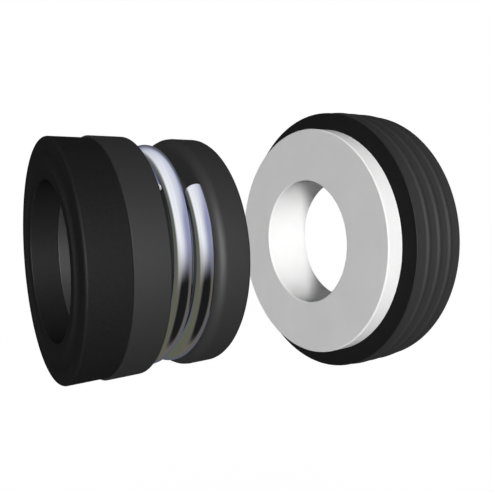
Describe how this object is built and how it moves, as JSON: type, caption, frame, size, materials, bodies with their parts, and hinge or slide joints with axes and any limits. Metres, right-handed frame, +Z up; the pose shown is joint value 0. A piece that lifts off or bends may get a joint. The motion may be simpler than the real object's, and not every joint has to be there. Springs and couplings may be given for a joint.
{
  "type": "component mechanical seal",
  "caption": "Shaft seal: a rotary head with carbon ring, rubber bellows and coil spring, and a stationary ceramic seat in a ribbed rubber cup.",
  "frame": {"origin": "on the shaft axis, midway along the seat cup's housing land", "axes": "+X along the shaft from the rotary head to the seat, +Z up"},
  "size_m": [0.0469, 0.0374, 0.0374],
  "materials": {
    "carbon": "dark carbon graphite, satin",
    "rubber": "moulded black rubber, satin",
    "spring_steel": "bright drawn stainless wire",
    "ceramic": "ground white ceramic, lapped face"
  },
  "bodies": {
    "stator": {"seat_cup": "rubber", "seat_ring": "ceramic"},
    "rotor": {"bellows": "rubber", "spring": "spring_steel"},
    "face": {"seal_ring": "carbon"}
  },
  "joints": [
    {"name": "shaft_spin", "type": "hinge", "parent": "stator", "child": "rotor", "pos_m": [-0.033, 0, 0], "axis": [1, 0, 0], "continuous": true},
    {"name": "face_float", "type": "slide", "parent": "rotor", "child": "face", "axis": [1, 0, 0], "range_m": [0, 0.0008], "stiffness_N_per_m": 5000, "deforming": ["bellows", "spring"]}
  ]
}
